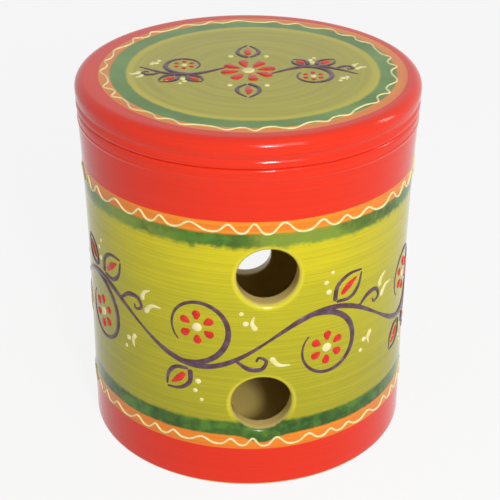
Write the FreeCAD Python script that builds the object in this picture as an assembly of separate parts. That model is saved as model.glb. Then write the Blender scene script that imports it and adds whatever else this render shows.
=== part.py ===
"""Garlic keeper: a thrown earthenware jar with vent holes and a flat lid that lifts off.

Millimetres, +Z up, origin at the centre of the foot, front vent holes towards -Y.
The jar and the lid come apart. The three wavy lines are trailed slip: raised beads laid
on the clay before firing, each one a closed ring and a solid of its own on its carrier.
"""

import FreeCAD
import Part
import math
import os

# Jar, outside: an upright side up to the waist, then a gentle flare to the rim
side_radius = 59.7
flare_start = 57.7
rim_swell = 1.9
jar_height = 128.5
foot_chamfer = 1.5
rim_outer_chamfer = 1.2
rim_inner_chamfer = 2.0

# Jar, inside and underside
wall_thickness = 6.7
floor_thickness = 8.0
floor_corner_chamfer = 6.0
foot_ring_width = 11.0
foot_recess_depth = 1.8
foot_recess_slope = 2.0

# Vent holes, the lower ones set out from the foot and the upper ones from the rim;
# angles run from the front towards the right
vent_radius = 10.75
lower_vent_height = 35.7
upper_vent_drop = 41.5
front_lower_vent_angle = 5.0
front_upper_vent_angle = 6.8
back_vent_angle = 181.0
vent_chamfer = 1.4

# Lid, outside: it stands a little over the rim and has a soft shoulder
lid_overhang = 0.4
lid_edge_height = 10.4
lid_shoulder_round = 3.6
lid_lower_chamfer = 1.2

# Lid, underside: a flange that drops into the mouth, and a recess inside it
flange_clearance = 1.0
flange_depth = 9.0
flange_thickness = 5.0
flange_end_chamfer = 1.4
lid_web = 7.4

# Trailed slip beads: waves round the ring, middle line, swing to each side, section
rim_wave_count = 35
rim_wave_drop = 22.7
rim_wave_swing = 1.6
foot_wave_count = 39
foot_wave_height = 18.9
foot_wave_swing = 1.3
lid_wave_count = 28
lid_wave_inset = 10.2
lid_wave_swing = 1.1
bead_width = 1.5
bead_height = 0.6
bead_seat = 0.04
points_per_wave = 6

# The unsteady hand that trails a bead: shares of the swing that come and go, a pace
# that runs ahead and falls behind, and a slow drift of the whole line, each with the
# number of its rounds in one turn; hand_crest makes the crests sharper than the troughs
hand_swell = 0.2
hand_swell_rounds = 5
hand_swell_start = 1.0
hand_flutter = 0.15
hand_flutter_rounds = 8
hand_pace = 0.9
hand_pace_rounds = 11
hand_crest = 0.18
hand_drift = 0.45
hand_drift_rounds = 3
hand_drift_start = 2.0

# Sizes that follow from the ones above
rim_radius = side_radius + rim_swell
mouth_radius = side_radius - wall_thickness
upper_vent_height = jar_height - upper_vent_drop
lid_radius = rim_radius + lid_overhang
lid_top = jar_height + lid_edge_height
flange_radius = mouth_radius - flange_clearance
flange_end = jar_height - flange_depth
recess_radius = flange_radius - flange_thickness

up = FreeCAD.Vector(0, 0, 1)
centre = FreeCAD.Vector(0, 0, 0)


def point(radius, height):
    return FreeCAD.Vector(radius, 0, height)


def revolve(corners, arcs=None):
    """Turn a closed outline of (radius, height) corners round the jar's axis.

    arcs maps the number of a corner to a middle point, where the run that starts at
    that corner is an arc through it.
    """
    arcs = arcs or {}
    edges = []
    for i, corner in enumerate(corners):
        start = point(*corner)
        end = point(*corners[(i + 1) % len(corners)])
        if i in arcs:
            edges.append(Part.Arc(start, point(*arcs[i]), end).toShape())
        else:
            edges.append(Part.makeLine(start, end))
    return Part.Face(Part.Wire(edges)).revolve(centre, up, 360)


def disc(radius, bottom, height):
    return Part.makeCylinder(radius, height, up * bottom)


def ring_edges(shape, radius, height):
    """The full circles of a turned solid that have this radius and height."""
    found = []
    for edge in shape.Edges:
        if edge.Degenerated or not isinstance(edge.Curve, Part.Circle):
            continue
        circle = edge.Curve
        if abs(circle.Radius - radius) < 0.01 and abs(circle.Center.z - height) < 0.01:
            found.append(edge)
    return found


def bevel_ring(shape, radius, height, chamfer):
    return shape.makeChamfer(chamfer, ring_edges(shape, radius, height))


def flare_arc_radius():
    """Radius of the arc that leaves the upright side at the waist and ends at the rim."""
    rise = jar_height - flare_start
    swell = rim_radius - side_radius
    return (rise ** 2 + swell ** 2) / (2 * swell)


def outside_radius(height):
    """Radius of the jar's outside at this height."""
    if height < flare_start:
        return side_radius
    arc_radius = flare_arc_radius()
    drop = math.sqrt(arc_radius ** 2 - (height - flare_start) ** 2)
    return side_radius + arc_radius - drop


def jar_blank():
    """The jar's outer form, solid."""
    flare_middle = (flare_start + jar_height) / 2
    corners = [
        (0, 0),
        (side_radius, 0),
        (side_radius, flare_start),
        (rim_radius, jar_height),
        (0, jar_height),
    ]
    return revolve(corners, {2: (outside_radius(flare_middle), flare_middle)})


def jar_cavity():
    """The space inside the jar, open at the mouth, with a sloped corner at the floor."""
    cavity = disc(mouth_radius, floor_thickness, jar_height)
    return bevel_ring(cavity, mouth_radius, floor_thickness, floor_corner_chamfer)


def foot_recess():
    """The hollow turned under the floor, which leaves a ring for the jar to stand on."""
    recess_radius = side_radius - foot_ring_width
    inner_radius = recess_radius - foot_recess_slope
    return Part.makeCone(recess_radius, inner_radius, foot_recess_depth)


def vent_direction(angle):
    turn = math.radians(angle)
    return FreeCAD.Vector(math.sin(turn), -math.cos(turn), 0)


def vent_cutter(angle, height):
    """A rod through one wall only, square to it."""
    outward = vent_direction(angle)
    start = outward * (mouth_radius - vent_radius) + up * height
    return Part.makeCylinder(vent_radius, side_radius, start, outward)


def vent_rim(shape, angle, height):
    """The edge of one vent hole on the jar's outside."""
    outward = vent_direction(angle)
    wall_middle = (side_radius + mouth_radius) / 2
    found = []
    for edge in shape.Edges:
        if edge.Degenerated or isinstance(edge.Curve, Part.Line):
            continue
        spot = edge.valueAt((edge.FirstParameter + edge.LastParameter) / 2) - up * height
        from_axis = (spot - outward * spot.dot(outward)).Length
        on_vent = abs(from_axis - vent_radius) < 0.01 and spot.dot(outward) > 0
        if on_vent and math.hypot(spot.x, spot.y) > wall_middle:
            found.append(edge)
    return found


def make_jar():
    jar = jar_blank().cut(jar_cavity()).cut(foot_recess())
    jar = bevel_ring(jar, side_radius, 0, foot_chamfer)
    jar = bevel_ring(jar, rim_radius, jar_height, rim_outer_chamfer)
    jar = bevel_ring(jar, mouth_radius, jar_height, rim_inner_chamfer)
    vents = [
        (front_lower_vent_angle, lower_vent_height),
        (front_upper_vent_angle, upper_vent_height),
        (back_vent_angle, lower_vent_height),
        (back_vent_angle, upper_vent_height),
    ]
    for angle, height in vents:
        jar = jar.cut(vent_cutter(angle, height))
        jar = jar.makeChamfer(vent_chamfer, vent_rim(jar, angle, height))
    return jar


def make_lid():
    plate = disc(lid_radius, jar_height, lid_edge_height)
    plate = plate.makeFillet(lid_shoulder_round, ring_edges(plate, lid_radius, lid_top))
    plate = bevel_ring(plate, lid_radius, jar_height, lid_lower_chamfer)
    lid = plate.fuse(disc(flange_radius, flange_end, flange_depth))
    lid = lid.cut(disc(recess_radius, flange_end, lid_top - lid_web - flange_end))
    lid = bevel_ring(lid, flange_radius, flange_end, flange_end_chamfer)
    return bevel_ring(lid, recess_radius, flange_end, flange_end_chamfer)


def wave(turn, count, swing):
    """How far the slip line stands off its middle line: uneven, as a hand leads it."""
    swell = hand_swell * math.sin(hand_swell_rounds * turn + hand_swell_start)
    flutter = hand_flutter * math.sin(hand_flutter_rounds * turn)
    drift = hand_drift * math.sin(hand_drift_rounds * turn + hand_drift_start)
    beat = count * turn + hand_pace * math.sin(hand_pace_rounds * turn)
    crest = math.sin(beat) - hand_crest * math.cos(2 * beat)
    return swing * (1 + swell + flutter) * crest + drift


def mitred(before, spot, after, side):
    """The corner of a line that runs beside a bent line, at a distance to one side."""
    first = (spot - before).normalize()
    second = (after - spot).normalize()
    first_normal = FreeCAD.Vector(-first.y, first.x, 0)
    second_normal = FreeCAD.Vector(-second.y, second.x, 0)
    return spot + (first_normal + second_normal) * (side / (1 + first.dot(second)))


def flat_triangle(first, second, third):
    return Part.Face(Part.makePolygon([first, second, third, first]))


def slip_bead(place, count, swing, mean_radius):
    """A closed wavy bead: a flat back on the clay and two sides that meet in a ridge.

    place(turn, offset, depth) gives the point at this angle, at this distance to one
    side of the middle line and this high above the carrier's surface.
    """
    steps = count * points_per_wave
    line = []
    for i in range(steps + 2):
        turn = 2 * math.pi * (i + 0.5) / steps
        line.append(FreeCAD.Vector(turn * mean_radius, wave(turn, count, swing), 0))
    section = [(-bead_width / 2, bead_seat), (0, bead_height), (bead_width / 2, bead_seat)]
    rails = []
    for side, depth in section:
        rail = []
        for i in range(1, steps + 1):
            spot = mitred(line[i - 1], line[i], line[i + 1], side)
            rail.append(place(spot.x / mean_radius, spot.y, depth))
        rails.append(rail)
    faces = []
    for near, far in zip(rails, rails[1:] + rails[:1]):
        for i in range(steps):
            faces.append(flat_triangle(near[i - 1], near[i], far[i]))
            faces.append(flat_triangle(near[i - 1], far[i], far[i - 1]))
    shell = Part.Shell(faces)
    shell.sewShape()
    return Part.Solid(shell)


def jar_bead(count, height, swing):
    """A bead round the jar's side, its back lying on the wall."""
    def place(turn, offset, depth):
        level = height + offset
        radius = outside_radius(level) + depth
        return FreeCAD.Vector(radius * math.sin(turn), -radius * math.cos(turn), level)

    return slip_bead(place, count, swing, side_radius)


def lid_bead(count, radius, swing):
    """A bead round the lid's top, its back lying on the plate."""
    def place(turn, offset, depth):
        reach = radius + offset
        return FreeCAD.Vector(reach * math.sin(turn), -reach * math.cos(turn), lid_top + depth)

    return slip_bead(place, count, swing, radius)


nodes = {
    "jar": make_jar(),
    "lid": make_lid(),
    "rim_slip_wave": jar_bead(rim_wave_count, jar_height - rim_wave_drop, rim_wave_swing),
    "foot_slip_wave": jar_bead(foot_wave_count, foot_wave_height, foot_wave_swing),
    "lid_slip_wave": lid_bead(lid_wave_count, lid_radius - lid_wave_inset, lid_wave_swing),
}

os.makedirs("parts", exist_ok=True)
for name, shape in nodes.items():
    solid = shape.Solids[0]
    print(name, len(shape.Solids), solid.isValid(), round(solid.Volume, 2), len(solid.Faces))
    solid.exportStep("parts/" + name + ".step")
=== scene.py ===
import math

import bpy
import numpy as np
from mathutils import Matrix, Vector


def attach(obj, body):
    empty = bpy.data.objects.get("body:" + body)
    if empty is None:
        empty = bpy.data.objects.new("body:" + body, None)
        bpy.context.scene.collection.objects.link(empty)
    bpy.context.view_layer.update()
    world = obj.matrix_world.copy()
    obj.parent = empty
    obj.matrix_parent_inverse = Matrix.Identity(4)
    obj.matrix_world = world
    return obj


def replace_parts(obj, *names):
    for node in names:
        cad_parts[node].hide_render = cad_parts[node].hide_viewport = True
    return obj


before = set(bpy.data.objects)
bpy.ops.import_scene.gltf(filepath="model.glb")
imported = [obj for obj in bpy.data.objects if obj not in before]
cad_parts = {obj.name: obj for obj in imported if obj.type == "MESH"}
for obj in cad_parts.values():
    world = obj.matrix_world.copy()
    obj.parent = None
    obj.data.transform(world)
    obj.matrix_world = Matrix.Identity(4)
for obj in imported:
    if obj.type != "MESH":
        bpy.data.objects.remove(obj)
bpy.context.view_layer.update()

MM = 0.001

# The room: a pale table top in a light room, seen from about 28 degrees above the table.
# The camera stands 0.59 m off with a long lens. One broad window and one small lamp near
# the camera light the pot from the front right, so that its sides fall off a little.
camera_place = (0.0, -0.4864, 0.3289)
camera_tilt_down = 28.40
camera_lean = -0.19
camera_lens = 104.5

camera = bpy.data.objects.new("camera", bpy.data.cameras.new("camera"))
bpy.context.scene.collection.objects.link(camera)
camera.data.lens = camera_lens
camera.data.sensor_width = 36.0
camera.data.clip_start = 0.01
camera.location = camera_place
camera.rotation_euler = (math.radians(90 - camera_tilt_down), math.radians(camera_lean), 0)
bpy.context.scene.camera = camera
bpy.context.scene.view_settings.view_transform = "Standard"


class Wire:
    """A socket in a node tree, which can be added, multiplied and so on like a number."""

    def __init__(self, tree, socket=None):
        self.tree = tree
        self.socket = socket

    def node(self, kind, settings=None, inputs=None):
        """Add any node: its settings first, then the values or wires of its sockets."""
        made = self.tree.nodes.new(kind)
        for name, value in (settings or {}).items():
            setattr(made, name, value)
        for key, value in (inputs or {}).items():
            if isinstance(value, Wire):
                self.tree.links.new(value.socket, made.inputs[key])
            else:
                made.inputs[key].default_value = value
        return Wire(self.tree, made.outputs[0] if made.outputs else None)

    def output(self, key):
        """Another output of the node that this wire comes from."""
        return Wire(self.tree, self.socket.node.outputs[key])

    def math(self, operation, *terms, clamp=False):
        """A Math node on these terms, which are wires or numbers."""
        settings = {"operation": operation, "use_clamp": clamp}
        return self.node("ShaderNodeMath", settings, dict(enumerate(terms)))

    def __add__(self, other):
        return self.math("ADD", self, other)

    def __radd__(self, other):
        return self.math("ADD", other, self)

    def __sub__(self, other):
        return self.math("SUBTRACT", self, other)

    def __rsub__(self, other):
        return self.math("SUBTRACT", other, self)

    def __mul__(self, other):
        return self.math("MULTIPLY", self, other)

    def __rmul__(self, other):
        return self.math("MULTIPLY", other, self)

    def __truediv__(self, other):
        return self.math("DIVIDE", self, other)

    def __pow__(self, power):
        return self.math("POWER", self, power)

    def sine(self):
        return self.math("SINE", self)

    def cosine(self):
        return self.math("COSINE", self)

    def at_least(self, least):
        return self.math("MAXIMUM", self, least)

    def above(self, edge, softness):
        """0 below the edge, 1 above it, rising over a band as wide as softness."""
        return self.math("MULTIPLY_ADD", self, 1 / softness, 0.5 - edge / softness, clamp=True)


def colour(red, green, blue):
    """A colour as it is read off a screen, turned into the light that a shader works in."""
    linear = []
    for value in (red, green, blue):
        share = value / 255
        linear.append(share / 12.92 if share <= 0.04045 else ((share + 0.055) / 1.055) ** 2.4)
    return (*linear, 1.0)


def new_material(name):
    """A material with an empty tree, and the pen that adds nodes to it."""
    material = bpy.data.materials.new(name)
    material.use_nodes = True
    material.node_tree.nodes.clear()
    return material, Wire(material.node_tree)


def seen_directly(pen):
    """1 for the camera and for what shows in a glossy or a clear surface, else 0."""
    path = pen.node("ShaderNodeLightPath")
    seen = path.output("Is Camera Ray") + path.output("Is Glossy Ray")
    return pen.math("ADD", seen, path.output("Is Transmission Ray"), clamp=True)


floor_half = 2.5
floor_glow = 0.87
floor_mesh = bpy.data.meshes.new("table_top")
floor_corners = [(-1, -1), (1, -1), (1, 1), (-1, 1)]
floor_mesh.from_pydata([(x * floor_half, y * floor_half, 0) for x, y in floor_corners], [], [(0, 1, 2, 3)])
floor = bpy.data.objects.new("table_top", floor_mesh)
bpy.context.scene.collection.objects.link(floor)
floor_material, pen = new_material("pale_table")
matt = pen.node("ShaderNodeBsdfDiffuse", None, {"Color": (0.72, 0.72, 0.72, 1)})
glow = pen.node("ShaderNodeEmission", None, {"Color": (1, 1, 1, 1), "Strength": 1.0})
table = pen.node("ShaderNodeMixShader", None, {0: seen_directly(pen) * floor_glow, 1: matt, 2: glow})
pen.node("ShaderNodeOutputMaterial", None, {"Surface": table})
floor_mesh.materials.append(floor_material)

room_fill = 0.36
world = bpy.data.worlds.new("white_room")
world.use_nodes = True
world.node_tree.nodes.clear()
bpy.context.scene.world = world
pen = Wire(world.node_tree)
room_level = room_fill + (1.0 - room_fill) * seen_directly(pen)
room = pen.node("ShaderNodeBackground", None, {"Color": (1.0, 1.0, 1.0, 1), "Strength": room_level})
pen.node("ShaderNodeOutputWorld", None, {"Surface": room})


def lamp(name, place, aim, width, height, watts):
    """A flat soft lamp at a place, turned to face its aim."""
    data = bpy.data.lights.new(name, "AREA")
    data.shape = "RECTANGLE"
    data.size = width
    data.size_y = height
    data.energy = watts
    made = bpy.data.objects.new(name, data)
    made.location = place
    made.rotation_euler = (Vector(aim) - Vector(place)).to_track_quat("-Z", "Y").to_euler()
    bpy.context.scene.collection.objects.link(made)


middle_of_jar = (0, 0, 0.07)
lamp("broad_window", (0.38, -1.0, 0.75), middle_of_jar, 0.6, 0.5, 4.0)
lamp("lamp_by_camera", (0.165, -0.66, 0.42), middle_of_jar, 0.08, 0.08, 2.3)
lamp("side_window", (0.75, 0.12, 0.42), (0.05, 0, 0.13), 0.10, 0.30, 0.7)

# The jar: red earthenware thrown on the wheel, its foot trimmed, four vent holes cut
# while it was leather hard and their edges sponged round. The bands of colour were
# brushed on as the jar turned, and a clear glaze was fired over them.
side_radius = 59.7
flare_start = 57.7
rim_radius = 61.6
jar_height = 128.5
mouth_radius = 53.0
foot_round = 1.5
rim_outer_round = 1.3
rim_inner_round = 2.0
throwing_ridge_height = 124.4
throwing_ridge_proud = 0.26
throwing_ridge_half = 0.5
floor_level = 8.0
floor_corner_round = 8.0
foot_ring_inner = 48.7
foot_recess_depth = 1.8
foot_recess_slope = 2.0
vent_radius = 10.75
vent_outer_round = 1.9
vent_inner_round = 1.2
halo_foot = 31
lower_vent_height = 35.7
upper_vent_height = 87.0
vents = [
    (5.0, lower_vent_height), (6.8, upper_vent_height),
    (181.0, lower_vent_height), (181.0, upper_vent_height),
]
columns = 192
column_angle = 360 / columns
patch_half = 16.0
patch_cells = 16
front_patch_angle = 5.9
first_column = front_patch_angle - patch_cells / 2 * column_angle
ridge_reach = 1.4
middle_radius = 4

rim_swell = rim_radius - side_radius
flare_arc_radius = ((jar_height - flare_start) ** 2 + rim_swell ** 2) / (2 * rim_swell)


def outside_radius(height):
    rise = np.maximum(np.asarray(height, float) - flare_start, 0)
    return side_radius + flare_arc_radius - np.sqrt(flare_arc_radius ** 2 - rise ** 2)


def wall_radius(height):
    """The jar's outside with the slight ridge that the thrower's finger left under the rim."""
    ridge = np.exp(-((np.asarray(height, float) - throwing_ridge_height) / throwing_ridge_half) ** 2)
    return outside_radius(height) + throwing_ridge_proud * ridge


def quarter_turn(centre_r, centre_z, radius, start_degrees, end_degrees, steps):
    """The points of a round in the turned section."""
    angles = np.radians(np.linspace(start_degrees, end_degrees, steps + 1))
    return [(centre_r + radius * math.cos(a), centre_z + radius * math.sin(a)) for a in angles]


def around(radius, height, degrees):
    """A point of the turned form; degrees run from the front towards the right."""
    turn = np.radians(degrees)
    return np.stack([radius * np.sin(turn), -radius * np.cos(turn), height + 0 * turn], -1)


low_rows = np.linspace(lower_vent_height - patch_half, lower_vent_height + patch_half, patch_cells + 1)
high_rows = np.linspace(upper_vent_height - patch_half, upper_vent_height + patch_half, patch_cells + 1)
between_rows = np.linspace(low_rows[-1], high_rows[0], 11)[1:-1]
above_rows = np.linspace(high_rows[-1], throwing_ridge_height - ridge_reach, 11)[1:-1]
ridge_rows = np.linspace(throwing_ridge_height - ridge_reach, throwing_ridge_height + ridge_reach, 19)
wall_rows = np.concatenate([low_rows, between_rows, high_rows, above_rows, ridge_rows])

section = [(middle_radius, foot_recess_depth), (20, foot_recess_depth), (40, foot_recess_depth)]
section += [(foot_ring_inner - foot_recess_slope, foot_recess_depth), (foot_ring_inner - 0.25, 0.2)]
section += [(foot_ring_inner + 0.4, 0), (side_radius - foot_round - 4, 0)]
section += quarter_turn(side_radius - foot_round, foot_round, foot_round, -90, 0, 5)
section += [(side_radius, z) for z in np.linspace(foot_round, low_rows[0], 9)[1:-1]]
outer_start = len(section)
section += [(float(wall_radius(z)), z) for z in wall_rows]
rim_z = jar_height - rim_outer_round
rim_edge = float(outside_radius(rim_z))
section += quarter_turn(rim_edge - rim_outer_round, rim_z, rim_outer_round, 0, 90, 5)
rim_top_start = len(section)
mouth_z = jar_height - rim_inner_round
section += quarter_turn(mouth_radius + rim_inner_round, mouth_z, rim_inner_round, 90, 180, 6)
inner_start = len(section)
section += [(mouth_radius, z) for z in wall_rows[::-1]]
corner_z = floor_level + floor_corner_round
section += quarter_turn(mouth_radius - floor_corner_round, corner_z, floor_corner_round, 0, -90, 8)
section += [(30, floor_level), (15, floor_level), (middle_radius, floor_level)]
column_angles = first_column + column_angle * np.arange(columns)
jar_points = list(np.concatenate([around(r, z, column_angles) for r, z in section]))
inward = [0.0] * len(jar_points)
halo = [0.0] * len(jar_points)
for ring in range(rim_top_start, len(section)):
    for k in range(columns):
        inward[ring * columns + k] = min(1.0, (ring - rim_top_start) / (inner_start - rim_top_start))


def ring_vertex(ring, column):
    return ring * columns + column % columns


def ring_quad(ring, column):
    return (
        ring_vertex(ring, column), ring_vertex(ring, column + 1),
        ring_vertex(ring + 1, column + 1), ring_vertex(ring + 1, column),
    )


vent_patches = []
for angle, height in vents:
    patch_column = round((angle - first_column) / column_angle) - patch_cells // 2
    patch_row = int(np.argmin(abs(wall_rows - (height - patch_half))))
    vent_patches.append((angle, height, patch_column, patch_row))


def in_patch(row, column):
    """Whether this cell of the wall is left open for a vent's own ring of faces."""
    for _, _, patch_column, patch_row in vent_patches:
        if patch_row <= row < patch_row + patch_cells and (column - patch_column) % columns < patch_cells:
            return True
    return False


jar_faces = []
for ring in range(len(section) - 1):
    row = -1
    if outer_start <= ring < outer_start + len(wall_rows) - 1:
        row = ring - outer_start
    elif inner_start <= ring < inner_start + len(wall_rows) - 1:
        row = len(wall_rows) - 2 - (ring - inner_start)
    for column in range(columns):
        if row < 0 or not in_patch(row, column):
            jar_faces.append(ring_quad(ring, column))


def close_middle(points, faces, rings):
    """Close the first and the last ring of a turned form, each round a middle point."""
    for ring in (0, rings - 1):
        middle = len(points)
        points.append(np.array([0, 0, points[ring * columns][2]]))
        for column in range(columns):
            near, far = ring_vertex(ring, column), ring_vertex(ring, column + 1)
            faces.append((middle, near, far) if ring else (middle, far, near))


close_middle(jar_points, jar_faces, len(section))
inward += [0.0, 1.0]
halo += [0.0, 0.0]


class VentHole:
    """Loops of points from the wall outside, through one vent hole, to the wall inside."""

    def __init__(self, angle, height, column, row):
        n = patch_cells
        border = [(row, column + i) for i in range(n)] + [(row + i, column + n) for i in range(n)]
        border += [(row + n, column + n - i) for i in range(n)] + [(row + n - i, column) for i in range(n)]
        self.height = height
        self.turn = math.radians(angle)
        self.bearing = np.sin(np.radians([first_column + column_angle * c for r, c in border]) - self.turn)
        self.rise = np.array([wall_rows[r] - height for r, c in border])
        self.heading = np.arctan2(self.rise, self.bearing * side_radius)
        self.loops = [[ring_vertex(outer_start + r, c) for r, c in border]]
        self.last_loop = [ring_vertex(inner_start + len(wall_rows) - 1 - r, c) for r, c in border]

    def wall_depth(self, across, upward, outside):
        """How far from the jar's axis the wall lies, measured along the vent's axis."""
        radius = wall_radius(self.height + upward) if outside else mouth_radius
        return np.sqrt(radius ** 2 - across ** 2)

    def add_loop(self, across, upward, depth, deep, glow):
        outward = np.array([math.sin(self.turn), -math.cos(self.turn), 0])
        right = np.array([math.cos(self.turn), math.sin(self.turn), 0])
        start = len(jar_points)
        for u, v, d in zip(across, upward, depth):
            jar_points.append(right * u + outward * d + np.array([0, 0, self.height + v]))
            inward.append(deep)
            halo.append(glow)
        self.loops.append(list(range(start, start + len(across))))

    def add_on_wall(self, share, rounding, outside, deep, glow):
        """A loop on the wall, this share of the way from the patch's border to the hole."""
        radius = wall_radius(self.height + self.rise) if outside else mouth_radius
        reach = vent_radius + rounding
        across = self.bearing * radius * (1 - share) + reach * np.cos(self.heading) * share
        upward = self.rise * (1 - share) + reach * np.sin(self.heading) * share
        self.add_loop(across, upward, self.wall_depth(across, upward, outside), deep, glow)

    def add_on_round(self, lean, rounding, outside, deep, glow):
        """A loop on the sponged edge, where the surface leans this far into the hole."""
        reach = vent_radius + rounding * (1 - math.sin(lean))
        across, upward = reach * np.cos(self.heading), reach * np.sin(self.heading)
        sink = rounding * (1 - math.cos(lean)) * (1 if outside else -1)
        self.add_loop(across, upward, self.wall_depth(across, upward, outside) - sink, deep, glow)

    def add_in_hole(self, share):
        across, upward = vent_radius * np.cos(self.heading), vent_radius * np.sin(self.heading)
        outer_end = self.wall_depth(across, upward, True) - vent_outer_round
        inner_end = self.wall_depth(across, upward, False) + vent_inner_round
        self.add_loop(across, upward, outer_end * (1 - share) + inner_end * share, 1.0, 0.0)

    def faces(self):
        loops = self.loops + [self.last_loop]
        made = []
        for near, far in zip(loops, loops[1:]):
            for i in range(len(near)):
                j = (i + 1) % len(near)
                made.append((near[i], near[j], far[j], far[i]))
        return made


for patch in vent_patches:
    hole = VentHole(*patch)
    for share, glow in ((0.3, 0.0), (0.6, 0.0), (0.82, 0.0), (1.0, 0.45)):
        hole.add_on_wall(share, vent_outer_round, True, 0.0, glow)
    for lean in np.radians(np.linspace(0, 90, 8)[1:]):
        hole.add_on_round(lean, vent_outer_round, True, min(1.0, float(lean) / 1.7), 1.0)
    for share in (0.25, 0.5, 0.75):
        hole.add_in_hole(share)
    for lean in np.radians(np.linspace(90, 0, 6)):
        hole.add_on_round(lean, vent_inner_round, False, 1.0, 0.0)
    for share in (0.7, 0.35):
        hole.add_on_wall(share, vent_inner_round, False, 1.0, 0.0)
    jar_faces += hole.faces()


def smooth_mesh(name, points, faces):
    mesh = bpy.data.meshes.new(name)
    mesh.from_pydata([tuple(p) for p in points], [], faces)
    mesh.update()
    mesh.shade_smooth()
    return mesh


def add_piece(name, mesh, body):
    """A finished piece at the frame's origin, riding on one body."""
    piece = bpy.data.objects.new(name, mesh)
    bpy.context.scene.collection.objects.link(piece)
    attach(piece, body)
    return piece


jar_mesh = smooth_mesh("thrown_jar", np.array(jar_points) * MM, jar_faces)
jar_mesh.attributes.new("inward", "FLOAT", "POINT").data.foreach_set("value", inward)
jar_mesh.attributes.new("halo", "FLOAT", "POINT").data.foreach_set("value", halo)

red_glaze = colour(240, 50, 10)
deep_red_glaze = colour(222, 30, 12)
orange_glaze = colour(246, 150, 32)
deep_orange_glaze = colour(240, 124, 32)
yellow_lime_glaze = colour(222, 206, 16)
lime_glaze = colour(190, 182, 22)
olive_glaze = colour(168, 162, 28)
green_glaze = colour(86, 130, 36)
dark_green_glaze = colour(46, 86, 24)
sea_green_glaze = colour(116, 160, 66)
halo_yellow = colour(230, 218, 56)
khaki_inside = colour(226, 204, 128)
brown_inside = colour(200, 166, 88)
# painted light: a pale colour laid on the jar's floor inside as a painted pool of lamp light
painted_floor_light = colour(255, 228, 130)
bare_clay = colour(198, 134, 92)


def place_on_piece(pen):
    """The three coordinates of a point on the piece, in millimetres."""
    coordinates = pen.node("ShaderNodeTexCoord").output("Object")
    split = pen.node("ShaderNodeSeparateXYZ", None, {0: coordinates})
    return [split.output(axis) * (1 / MM) for axis in "XYZ"]


def cloud(x, y, z, scale, detail=2.0, roughness=0.5):
    """Soft noise from 0 to 1, with its own scale along each axis."""
    vector = x.node("ShaderNodeCombineXYZ", None, {0: x * scale[0], 1: y * scale[1], 2: z * scale[2]})
    inputs = {"Vector": vector, "Scale": 1.0, "Detail": detail, "Roughness": roughness}
    return x.node("ShaderNodeTexNoise", {"noise_dimensions": "3D"}, inputs)


def mixed(share, first, second):
    """Mix two colours, each a plain colour or a wire."""
    return share.node("ShaderNodeMix", {"data_type": "RGBA"}, {0: share, 6: first, 7: second}).output(2)


def khaki_glaze(x, y, z):
    """The colour of the parts that are only glazed, a little cloudy."""
    return mixed(cloud(x, y, z, (0.08, 0.08, 0.2), 3.0).above(0.5, 0.7) * 0.6, khaki_inside, brown_inside)


def glazed(pen, paint, roughness, relief, strength):
    """Clear glaze over paint; relief is the height that the brush and the wheel left."""
    bump = pen.node("ShaderNodeBump", None, {"Height": relief, "Strength": strength, "Distance": 0.0006})
    shader = pen.node("ShaderNodeBsdfPrincipled", None, {
        "Base Color": paint, "Roughness": roughness, "Normal": bump,
        "IOR": 1.36, "Specular IOR Level": 0.48,
    })
    pen.node("ShaderNodeOutputMaterial", None, {"Surface": shader})


red_bottom = 109.0
orange_bottom = 104.4
green_bottom = 100.7
lower_green_top = 28.2
lower_orange_top = 22.2
lower_red_top = 16.6
green_drip_place = 5.2
green_drip_length = 2.8

jar_paint, pen = new_material("bands_under_glaze")
x, y, z = place_on_piece(pen)
wander = cloud(x, y, z, (0.05, 0.05, 0.05), 1.0) - 0.5
frayed = cloud(x, y, z, (0.35, 0.35, 0.9), 3.0) - 0.5
streaks = cloud(x, y, z, (0.012, 0.012, 0.9), 4.0, 0.65)
fine_streaks = cloud(x, y, z + x * 0.02, (0.02, 0.02, 2.6), 3.0, 0.6)
patches = cloud(x, y, z, (0.045, 0.045, 0.10), 2.0)
blotches = cloud(x, y, z, (0.30, 0.30, 0.22), 3.0, 0.6)
level = z + wander

lime = mixed((z + streaks * 34 + patches * 20).above(82, 50), olive_glaze, lime_glaze)
# The yellow of the upper lime band is glaze tone, but it is made stronger on the front half of the jar: a
# painted highlight where the lamps fall.
front_painted_light = 0.35 + 0.5 * (0 - y).above(42, 30)
lime = mixed((z + streaks * 20 + patches * 24).above(108, 24) * front_painted_light, lime, yellow_lime_glaze)
lime = mixed(fine_streaks.above(0.58, 0.16) * 0.52, lime, olive_glaze)
lime = mixed((1 - fine_streaks.above(0.44, 0.16)) * 0.35, lime, yellow_lime_glaze)
greens = mixed((patches * 0.7 + blotches * 0.7).above(0.68, 0.24), green_glaze, dark_green_glaze)
translucent = cloud(x + 40, y, z, (0.03, 0.03, 0.02), 1.0)
dabs = cloud(x, y + 20, z, (0.11, 0.11, 0.16), 3.0, 0.6)
greens = mixed(dabs.above(0.56, 0.12) * 0.6, greens, dark_green_glaze)
upper_greens = mixed((translucent + blotches * 0.5).above(0.80, 0.2) * 0.55, greens, sea_green_glaze)
orange = mixed(streaks.above(0.5, 0.3), orange_glaze, deep_orange_glaze)
red = mixed(fine_streaks.above(0.5, 0.5) * 0.55, red_glaze, deep_red_glaze)

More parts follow.
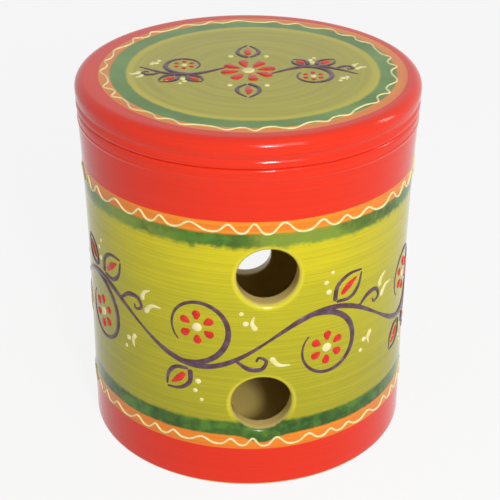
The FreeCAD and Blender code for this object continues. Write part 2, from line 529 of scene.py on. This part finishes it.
thinned = (translucent + blotches * 0.4).above(0.72, 0.3) * 0.2
upper_green = (level + frayed * 2.2 + blotches * 3.4).above(green_bottom, 1.9) * (1 - thinned)
lower_green = 1 - (level + frayed * 1.2).above(lower_green_top, 1.3)
drip = (0 - y).above(0, 4) * x.math("EXPONENT", (x - green_drip_place) ** 2 * -0.03)
paint = mixed(upper_green, lime, upper_greens)
paint = mixed(lower_green, paint, greens)
paint = mixed((level + frayed * 0.9).above(orange_bottom, 0.8), paint, orange)
with_drip = level + drip * green_drip_length + frayed * 0.8
paint = mixed(1 - with_drip.above(lower_orange_top, 0.7), paint, orange)
paint = mixed((z + wander * 0.6).above(red_bottom, 0.25), paint, red)
paint = mixed(1 - (z + wander * 0.6 + frayed * 0.2).above(lower_red_top, 0.2), paint, red)

vent_halo = pen.node("ShaderNodeAttribute", {"attribute_name": "halo"}).output("Fac")
into_wall = pen.node("ShaderNodeAttribute", {"attribute_name": "inward"}).output("Fac")
paint = mixed(vent_halo ** 2 * 0.6 * z.above(halo_foot, 8), paint, halo_yellow)
inside = khaki_glaze(x, y, z)
# The jar's floor inside is painted much paler: a painted pool of light, standing in for the lamp light
# that falls in through the vents.
on_floor = 1 - z.above(floor_level + 3, 2)
inside = mixed(on_floor * 0.8, inside, painted_floor_light)
paint = mixed((into_wall + frayed * 0.25).above(0.62, 0.3), paint, inside)
underside = 1 - z.above(1.0, 0.5)
from_axis = (x * x + y * y) ** 0.5
unglazed = (1 - z.above(0.4, 0.3)) * from_axis.above(foot_ring_inner - 1, 0.6)
paint = mixed(underside, paint, inside)
paint = mixed(unglazed, paint, bare_clay)
wheel_rings = cloud(x, y, z, (0.004, 0.004, 0.5), 2.0)
brushed = wheel_rings * 0.7 + fine_streaks * 0.25 + streaks * 0.4
glazed(pen, paint, 0.08 + patches * 0.06 + unglazed * 0.5, brushed, 0.20)

jar_mesh.materials.append(jar_paint)
jar = add_piece("thrown_jar", jar_mesh, "jar")
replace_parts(jar, "jar")

# The lid: a flat disc of the same clay, with a soft shoulder, a small lip at its lower
# edge and a flange underneath that drops into the mouth. Its rings of colour were laid
# on as it turned on the wheel, a little off its middle.
lid_radius = rim_radius + 0.4
lid_top = jar_height + 10.4
shoulder_round = 3.6
lip_height = 1.9
lip_radius = lid_radius - 0.15
lip_round = 1.1
hollow_depth = 0.6
flange_radius = mouth_radius - 1.0
flange_end = jar_height - 9.0
flange_round = 2.0
recess_radius = flange_radius - 5.0
recess_top = lid_top - 7.4
recess_round = 3.0
crown_sink = 0.12
hollow_place = 0.28
hollow_spread = 0.16

lid_section = [(middle_radius, recess_top), (20, recess_top), (recess_radius - recess_round, recess_top)]
recess_corner = recess_top - recess_round
flange_corner = flange_end + flange_round
recess_rows = np.linspace(recess_corner, flange_corner, 8)[1:-1]
lid_section += quarter_turn(recess_radius - recess_round, recess_corner, recess_round, 90, 0, 6)[1:]
lid_section += [(recess_radius, z) for z in recess_rows]
lid_section += quarter_turn(recess_radius + flange_round, flange_corner, flange_round, 180, 270, 6)
lid_section += quarter_turn(flange_radius - flange_round, flange_corner, flange_round, -90, 0, 6)
lid_section += [(flange_radius, z) for z in np.linspace(flange_corner, jar_height - 0.3, 6)[1:]]
lid_section += [(flange_radius + 0.3, jar_height), (56, jar_height)]
lid_section += quarter_turn(lip_radius - lip_round, jar_height + lip_round, lip_round, -90, 0, 5)
hollow_start = jar_height + lip_height
hollow_end = lid_top - shoulder_round
for share in np.linspace(0, 1, 13)[:-1]:
    hollow = hollow_depth * math.exp(-((share - hollow_place) / hollow_spread) ** 2)
    swell = lip_radius + (lid_radius - lip_radius) * share
    lid_section.append((swell - hollow, hollow_start + (hollow_end - hollow_start) * share))
lid_section += quarter_turn(lid_radius - shoulder_round, hollow_end, shoulder_round, 0, 90, 10)
top_radii = range(57, 1, -3)
flat_radius = lid_radius - 4
lid_section += [(r, lid_top - crown_sink * (1 - (r / flat_radius) ** 2)) for r in top_radii]
lid_points = list(np.concatenate([around(r, z, column_angles) for r, z in lid_section]))
lid_faces = [ring_quad(ring, column) for ring in range(len(lid_section) - 1) for column in range(columns)]
close_middle(lid_points, lid_faces, len(lid_section))
lid_mesh = smooth_mesh("flat_lid", np.array(lid_points) * MM, lid_faces)

green_ring_inner = 45.4
orange_ring_inner = 51.4
red_ring_inner = 55.1
rings_off_middle = 1.6
lip_inner = lip_radius - lip_round - 1.5

lid_paint, pen = new_material("rings_under_glaze")
x, y, z = place_on_piece(pen)
off_middle = x - rings_off_middle
from_centre = (off_middle * off_middle + y * y) ** 0.5
wander = (cloud(x, y, z, (0.03, 0.03, 0.03), 1.0) - 0.5) * 1.6
frayed = cloud(x, y, z, (0.35, 0.35, 0.9), 3.0) - 0.5
ring_noise = cloud(from_centre, x * 0.02, y * 0.02, (0.45, 1, 1), 4.0, 0.65)
fine_rings = cloud(from_centre, x * 0.02, y * 0.02, (1.7, 1, 1), 3.0, 0.6)
side_streaks = cloud(x, y, z, (0.02, 0.02, 2.6), 3.0, 0.6)
patches = cloud(x, y, z, (0.045, 0.045, 0.10), 2.0)
lime = mixed(ring_noise.above(0.5, 0.4), olive_glaze, lime_glaze)
lime = mixed(fine_rings.above(0.62, 0.2) * 0.35, lime, olive_glaze)
lime = mixed(from_centre.above(42.6, 1.4) * 0.5, lime, yellow_lime_glaze)
greens = mixed(patches.above(0.45, 0.4), sea_green_glaze, green_glaze)
orange = mixed(ring_noise.above(0.5, 0.3), orange_glaze, deep_orange_glaze)
red = mixed(side_streaks.above(0.5, 0.5) * 0.55, red_glaze, deep_red_glaze)
reach = from_centre + wander
paint = mixed((reach + frayed * 0.9).above(green_ring_inner, 1.0), lime, greens)
paint = mixed((reach + frayed * 0.5).above(orange_ring_inner, 0.6), paint, orange)
paint = mixed((from_centre + wander * 0.4).above(red_ring_inner, 0.4), paint, red)
inside = khaki_glaze(x, y, z)
below_rim = (1 - z.above(jar_height + 0.5, 0.4)) * (1 - from_centre.above(lip_inner, 0.4))
in_recess = (1 - from_centre.above(recess_radius + 2.5, 0.5)) * (1 - z.above(lid_top - 3, 1))
paint = mixed(below_rim.at_least(in_recess), paint, inside)
brushed = ring_noise * 0.6 + fine_rings * 0.3 + side_streaks * 0.3
glazed(pen, paint, 0.08 + patches * 0.06, brushed, 0.20)
lid_mesh.materials.append(lid_paint)
lid = add_piece("flat_lid", lid_mesh, "lid")
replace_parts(lid, "lid")

# The wavy lines: cream slip trailed from a rubber bulb onto the turning pot, once round
# the lid's top and twice round the jar. The line stands proud, and it is as uneven as
# the hand that led it.
hand_swell, hand_swell_rounds, hand_swell_start = 0.2, 5, 1.0
hand_flutter, hand_flutter_rounds = 0.15, 8
hand_pace, hand_pace_rounds = 0.9, 11
hand_crest = 0.18
hand_drift, hand_drift_rounds, hand_drift_start = 0.45, 3, 2.0
line_half_width = 0.42
lid_line_radius = 51.8
rim_line_height = 105.8
foot_line_height = 18.9
line_sink = 0.12
line_points_per_wave = 18
cream_slip = colour(236, 222, 140)
pale_slip = colour(246, 238, 184)


def slip_paint(name, slip, thin_slip, grain, edge, softness):
    """Trailed slip under the glaze, a little cloudy in tone; grain is per millimetre."""
    material, pen = new_material(name)
    x, y, z = place_on_piece(pen)
    tone = cloud(x, y, z, (grain, grain, grain), 3.0)
    glazed(pen, mixed(tone.above(edge, softness), slip, thin_slip), 0.14 + tone * 0.06, tone, 0.1)
    return material


cream_paint = slip_paint("cream_slip_under_glaze", cream_slip, pale_slip, 0.5, 0.5, 0.4)


class Trailer(Wire):
    """A geometry tree that makes slip lines, with named inputs for their sizes."""

    def __init__(self, name, labels):
        tree = bpy.data.node_groups.new(name, "GeometryNodeTree")
        super().__init__(tree)
        tree.interface.new_socket(name="Geometry", in_out="INPUT", socket_type="NodeSocketGeometry")
        self.keys = {}
        for label, kind in labels.items():
            item = tree.interface.new_socket(name=label, in_out="INPUT", socket_type="NodeSocket" + kind)
            self.keys[label] = item.identifier
        tree.interface.new_socket(name="Geometry", in_out="OUTPUT", socket_type="NodeSocketGeometry")
        self.entry = tree.nodes.new("NodeGroupInput")

    def given(self, label):
        return Wire(self.tree, self.entry.outputs[label])

    def spot(self):
        """The three coordinates of each point."""
        split = self.node("ShaderNodeSeparateXYZ", None, {0: self.node("GeometryNodeInputPosition")})
        return [split.output(axis) for axis in "XYZ"]

    def moved_to(self, geometry, x, y, z):
        """The geometry with its points put at these millimetres."""
        place = self.node("ShaderNodeCombineXYZ", None, {0: x * MM, 1: y * MM, 2: z * MM})
        return self.node("GeometryNodeSetPosition", None, {0: geometry, "Position": place})

    def wall_at(self, height):
        """The jar's outside radius at this height."""
        rise = (height - flare_start).at_least(0.0)
        return side_radius + rise * rise / (2 * flare_arc_radius)

    def close(self, geometry):
        real = self.node("GeometryNodeRealizeInstances", None, {0: geometry})
        shaded = self.node("GeometryNodeSetShadeSmooth", None, {0: real})
        inputs = {0: shaded, "Material": self.given("Material")}
        painted = self.node("GeometryNodeSetMaterial", None, inputs)
        self.node("NodeGroupOutput", None, {0: painted})

    def run(self, name, start, values):
        """What the tree makes of a starting mesh, as a plain mesh."""
        carrier = bpy.data.objects.new(name + "_start", start)
        bpy.context.scene.collection.objects.link(carrier)
        modifier = carrier.modifiers.new("trail", "NODES")
        modifier.node_group = self.tree
        for label, value in values.items():
            modifier[self.keys[label]] = value
        graph = bpy.context.evaluated_depsgraph_get()
        result = bpy.data.meshes.new_from_object(carrier.evaluated_get(graph))
        result.name = name
        carrier.modifiers.remove(modifier)
        bpy.data.objects.remove(carrier)
        return result


line_trailer = Trailer("wavy_slip_line", {
    "Waves": "Float", "Swing": "Float", "Points": "Int", "Radius": "Float", "Height": "Float",
    "Lies Flat": "Float", "Half Width": "Float", "Material": "Material",
})
line_points = line_trailer.given("Points")
ring = line_trailer.node("GeometryNodeCurvePrimitiveCircle", None, {0: line_points, 4: 1.0})
across, deep, _ = line_trailer.spot()
turn = line_trailer.math("ARCTAN2", across, 0 - deep)
swell = hand_swell * (hand_swell_rounds * turn + hand_swell_start).sine()
flutter = hand_flutter * (hand_flutter_rounds * turn).sine()
beat = line_trailer.given("Waves") * turn + hand_pace * (hand_pace_rounds * turn).sine()
crest = beat.sine() - hand_crest * (2 * beat).cosine()
drift = hand_drift * (hand_drift_rounds * turn + hand_drift_start).sine()
offset = line_trailer.given("Swing") * (1 + swell + flutter) * crest + drift
lies_flat = line_trailer.given("Lies Flat")
height = line_trailer.given("Height") + (1 - lies_flat) * offset
on_wall = line_trailer.wall_at(height) + 0.02
on_top = line_trailer.given("Radius") + offset
reach = on_wall * (1 - lies_flat) + on_top * lies_flat
wavy = line_trailer.moved_to(ring, reach * turn.sine(), 0 - reach * turn.cosine(), height)
x, y, z = (axis / MM for axis in line_trailer.spot())
half_width = line_trailer.given("Half Width") * (0.7 + cloud(x, y, z, (0.3, 0.3, 0.3)) * 0.6)
bead = line_trailer.node("GeometryNodeCurvePrimitiveCircle", None, {0: 10, 4: MM})
tube = line_trailer.node("GeometryNodeCurveToMesh", None, {0: wavy, 1: bead, "Scale": half_width})
line_trailer.close(tube)

wavy_lines = [
    ("rim_slip_line", "rim_slip_wave", "jar", 35, 1.6, 0.0, rim_line_height, 0.0),
    ("foot_slip_line", "foot_slip_wave", "jar", 39, 1.3, 0.0, foot_line_height, 0.0),
    ("lid_slip_line", "lid_slip_wave", "lid", 28, 1.1, lid_line_radius, lid_top - line_sink, 1.0),
]
for name, node, body, waves, swing, radius, height, lies_flat in wavy_lines:
    line_mesh = line_trailer.run(name, bpy.data.meshes.new(name + "_start"), {
        "Waves": float(waves), "Swing": swing, "Points": waves * line_points_per_wave, "Radius": radius,
        "Height": height, "Lies Flat": lies_flat, "Half Width": line_half_width, "Material": cream_paint,
    })
    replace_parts(add_piece(name, line_mesh, body), node)

# The painted ornament: a plain running scroll of leaves and small daisies round the jar
# and a spray of the same on the lid, trailed in coloured slip. Each stroke starts with
# a fat drop from the bulb and thins as it is drawn away.
scroll_waves = 4
scroll_start = 6.1
scroll_middle = 61.0
scroll_swing = 8.4
drawn_bay_length = 37.5
jar_scroll_scale = math.pi * side_radius / scroll_waves / drawn_bay_length
curl_radius = 7.4
vent_clearance = 13.2
lid_spray_scale = 0.74
lid_spray_start = 9.5
stroke_proud = 0.5
stroke_flattening = 0.45
stroke_sink = 0.1
stroke_step = 0.55


def smooth_path(corners):
    """Points about stroke_step apart on a soft line through the corners."""
    corners = [np.array(corner, float) for corner in corners]
    corners = [2 * corners[0] - corners[1], *corners, 2 * corners[-1] - corners[-2]]
    path = []
    for a, b, c, d in zip(corners, corners[1:], corners[2:], corners[3:]):
        steps = max(2, round(float(np.linalg.norm(c - b)) / stroke_step))
        for t in np.arange(steps) / steps:
            bend = (a - 2.5 * b + 2 * c - d / 2) * t ** 2 + (1.5 * b - a / 2 - 1.5 * c + d / 2) * t ** 3
            path.append(b + (c - a) * t / 2 + bend)
    return np.array([*path, corners[-2]])


def stroke(slip, corners, *half_widths):
    """One round-ended stroke: its slip, its path, and its half widths along the way."""
    path = smooth_path(corners)
    run = np.concatenate([[0], np.cumsum(np.linalg.norm(np.diff(path, axis=0), axis=1))])
    width = np.interp(run / run[-1], np.linspace(0, 1, len(half_widths)), half_widths)
    for distance, half in ((run, half_widths[0]), (run[-1] - run, half_widths[-1])):
        width = width * np.sqrt(np.clip(1 - (1 - np.minimum(distance / half, 1)) ** 2, 0.02, 1))
    return slip, np.column_stack([path, width])


def dot(slip, centre, radius):
    across = radius * np.cos(np.linspace(math.pi, 0, 9))
    width = np.sqrt(np.clip(radius ** 2 - across ** 2, 0.0004, None))
    return slip, np.column_stack([centre[0] + across, centre[1] + 0 * across, width])


def placed(strokes, origin, degrees=0.0, flip=1):
    """The strokes mirrored if flip is -1, then turned about their start and moved."""
    turn = math.radians(degrees)
    moved = []
    for slip, line in strokes:
        x, y = line[:, 0], line[:, 1] * flip
        turned_x = origin[0] + x * math.cos(turn) - y * math.sin(turn)
        turned_y = origin[1] + x * math.sin(turn) + y * math.cos(turn)
        moved.append((slip, np.column_stack([turned_x, turned_y, line[:, 2]])))
    return moved


def leaf(length):
    """An almond leaf that points along +X: dark outline, red heart."""
    w = length * 0.28
    upper = [(0, 0), (length * 0.3, w), (length * 0.68, w * 0.92), (length, 0.2)]
    lower = [(0.3, -0.5), (length * 0.32, -w), (length * 0.66, -w * 0.9), (length * 0.96, -0.3)]
    heart = [(length * 0.22, 0), (length * 0.5, 0.3), (length * 0.78, 0)]
    return [
        stroke("aubergine", upper, 1.0, 0.8, 0.4),
        stroke("aubergine", lower, 0.6, 0.85, 0.35),
        stroke("red", heart, 0.9, 1.35, 0.4),
    ]


def daisy(petals, middle, reach):
    """Red petals, each one drop of slip, round a cream middle."""
    strokes = [dot("cream", (0, 0), middle)]
    fat = math.pi * reach / petals * 0.52
    for k in range(petals):
        turn = 2 * math.pi * (k + 0.25) / petals
        way = np.array([math.cos(turn), math.sin(turn)])
        aside = np.array([-way[1], way[0]]) * 0.3
        start = middle + 1.0
        petal = [way * start, way * (start + reach) / 2 + aside, way * reach]
        strokes.append(stroke("red", petal, 0.45, fat * 0.8, fat))
    return strokes


def curl(reach, rest, start_degrees, sweep):
    """A tendril that curls round a middle, from a wide reach in to its resting radius."""
    corners = []
    for share in np.linspace(0, 1, 22):
        turn = math.radians(start_degrees - sweep * share)
        radius = rest + (reach - rest) * math.exp(-4.2 * share)
        corners.append((radius * math.cos(turn), radius * math.sin(turn)))
    return [stroke("aubergine", corners, 0.3, 1.05, 1.1, 0.85, 0.6, 0.3)]


def comma(length, bend):
    return [stroke("cream", [(0, 0), (length * 0.5, bend), (length, 0)], 1.25, 0.8, 0.25)]


def scroll_bay(scale):
    """One half wave of the scroll at this scale, from X 0, with what grows on it."""
    stem = []
    for share in np.linspace(-0.05, 1.07, 13):
        stem.append((share * drawn_bay_length * scale, scroll_swing * scale * math.sin(math.pi * share)))

    def growing(strokes, spot, degrees=0, flip=1):
        return placed(strokes, (spot[0] * scale, spot[1] * scale), degrees, flip)

    middle = drawn_bay_length / 2
    crown = scroll_swing + 1.6
    heart = (middle - 0.4, scroll_swing - 12.7)
    tendril = [(0, 0), (4, 1.8), (7.6, 1.2), (8.4, -1.6), (6.2, -2.4), (5.6, -0.8)]
    tendril = [(x * scale, y * scale) for x, y in tendril]
    return [
        [stroke("aubergine", stem, 0.4, 1.1, 1.0, 0.4)],
        growing(curl(15.6 * scale, curl_radius * scale, 150, 372), heart),
        growing(daisy(6, 1.5 * scale, 5.4 * scale), heart, 10),
        growing(leaf(12.0 * scale), (middle + 1.8, crown), 38),
        growing(leaf(10.5 * scale), (middle - 2.6, crown), 136, -1),
        growing([dot("cream", (0, 0), 1.15)], (middle - 0.3, crown + 3.6)),
        growing([dot("cream", (0, 0), 0.95)], (middle - 1.2, crown + 6.8)),
        growing([dot("cream", (0, 0), 0.75)], (middle + 0.7, crown + 9.6)),
        growing([stroke("aubergine", tendril, 0.5, 1.0, 0.7, 0.45)], (middle + 10.6, 5.6), 12),
        growing(comma(6.6 * scale, 1.3 * scale), (drawn_bay_length + 1.6, 4.6), 28),
        growing(comma(5.2 * scale, 1.0 * scale), (drawn_bay_length + 0.6, 8.2), 52),
        growing(comma(4.6 * scale, -0.9 * scale), (drawn_bay_length - 2.4, -4.4), 262),
        growing([dot("cream", (0, 0), 1.1)], (drawn_bay_length - 5.4, -6.6)),
        growing([dot("cream", (0, 0), 0.85)], (drawn_bay_length - 6.6, -9.8)),
    ]


def clear_of_vents(strokes):
    """Whether every point keeps off the sponged edges of the vents."""
    whole_round = 2 * math.pi * side_radius
    for angle, height in vents:
        for _, line in strokes:
            aside = line[:, 0] - math.radians(angle) * side_radius + whole_round / 2
            aside = aside % whole_round - whole_round / 2
            if np.hypot(aside, line[:, 1] - height).min() < vent_clearance:
                return False
    return True


jar_strokes = []
for k in range(2 * scroll_waves):
    along = scroll_start + k * drawn_bay_length * jar_scroll_scale
    for element in scroll_bay(jar_scroll_scale):
        element = placed(element, (along, scroll_middle), 0, 1 - 2 * (k % 2))
        if clear_of_vents(element):
            jar_strokes += element

lid_strokes = daisy(8, 2.4, 10.0)
for facing in (0, 180):
    for element in scroll_bay(lid_spray_scale):
        lid_strokes += placed(placed(element, (lid_spray_start, -2.0)), (0, 0), facing)
for facing in (90, 270):
    lid_strokes += placed(placed(leaf(13.0), (12.5, 0)), (0, 0), facing)
    lid_strokes += placed([dot("cream", (14, 6.5), 1.1), dot("cream", (14, -6.5), 1.1)], (0, 0), facing)

stroke_trailer = Trailer("trailed_strokes", {"Lies Flat": "Float", "Material": "Material"})
half_width = stroke_trailer.node(
    "GeometryNodeInputNamedAttribute", {"data_type": "FLOAT"}, {"Name": "half_width"})
paths = stroke_trailer.node("GeometryNodeMeshToCurve", None, {0: stroke_trailer.given("Geometry")})
drop = stroke_trailer.node("GeometryNodeCurvePrimitiveCircle", None, {0: 10, 4: 1.0})
tubes = stroke_trailer.node("GeometryNodeCurveToMesh", None, {
    0: paths, 1: drop, "Scale": half_width, "Fill Caps": True,
})
along, upward, depth = stroke_trailer.spot()
turn = along / side_radius
stands = depth * stroke_proud / (1 + depth.math("ABSOLUTE", depth) * stroke_flattening)
reach = stroke_trailer.wall_at(upward) + stands
lies_flat = stroke_trailer.given("Lies Flat")
wraps = 1 - lies_flat
stroke_trailer.close(stroke_trailer.moved_to(
    tubes,
    reach * turn.sine() * wraps + along * lies_flat,
    upward * lies_flat - reach * turn.cosine() * wraps,
    upward * wraps + (lid_top - stroke_sink + stands) * lies_flat,
))


def strokes_mesh(name, strokes, slip):
    """The middle lines of all strokes in one slip, as a mesh of edges with half widths."""
    points, edges, widths = [], [], []
    for colour_name, line in strokes:
        if colour_name != slip:
            continue
        edges += [(len(points) + i, len(points) + i + 1) for i in range(len(line) - 1)]
        points += [(px, py, 0.0) for px, py, _ in line]
        widths += [float(w) for w in line[:, 2]]
    mesh = bpy.data.meshes.new(name + "_paths")
    mesh.from_pydata(points, edges, [])
    mesh.attributes.new("half_width", "FLOAT", "POINT").data.foreach_set("value", widths)
    return mesh


aubergine_slip = colour(84, 54, 68)
pale_aubergine_slip = colour(112, 84, 98)
red_slip = colour(232, 50, 38)
deep_red_slip = colour(206, 30, 30)
aubergine_paint = slip_paint(
    "aubergine_slip_under_glaze", aubergine_slip, pale_aubergine_slip, 0.3, 0.55, 0.3)
red_paint = slip_paint("red_slip_under_glaze", red_slip, deep_red_slip, 0.3, 0.5, 0.3)

trailed_groups = [
    ("jar_scroll_stems", jar_strokes, "aubergine", "jar", "painted_glaze", 0.0, aubergine_paint),
    ("jar_scroll_petals", jar_strokes, "red", "jar", "painted_glaze", 0.0, red_paint),
    ("jar_scroll_dots", jar_strokes, "cream", "jar", "cream_slip", 0.0, cream_paint),
    ("lid_spray_stems", lid_strokes, "aubergine", "lid", "painted_glaze", 1.0, aubergine_paint),
    ("lid_spray_petals", lid_strokes, "red", "lid", "painted_glaze", 1.0, red_paint),
    ("lid_spray_dots", lid_strokes, "cream", "lid", "cream_slip", 1.0, cream_paint),
]
for name, strokes, slip, body, slot, lies_flat, paint in trailed_groups:
    values = {"Lies Flat": lies_flat, "Material": paint}
    trailed = stroke_trailer.run(name, strokes_mesh(name, strokes, slip), values)
    add_piece(name, trailed, body)
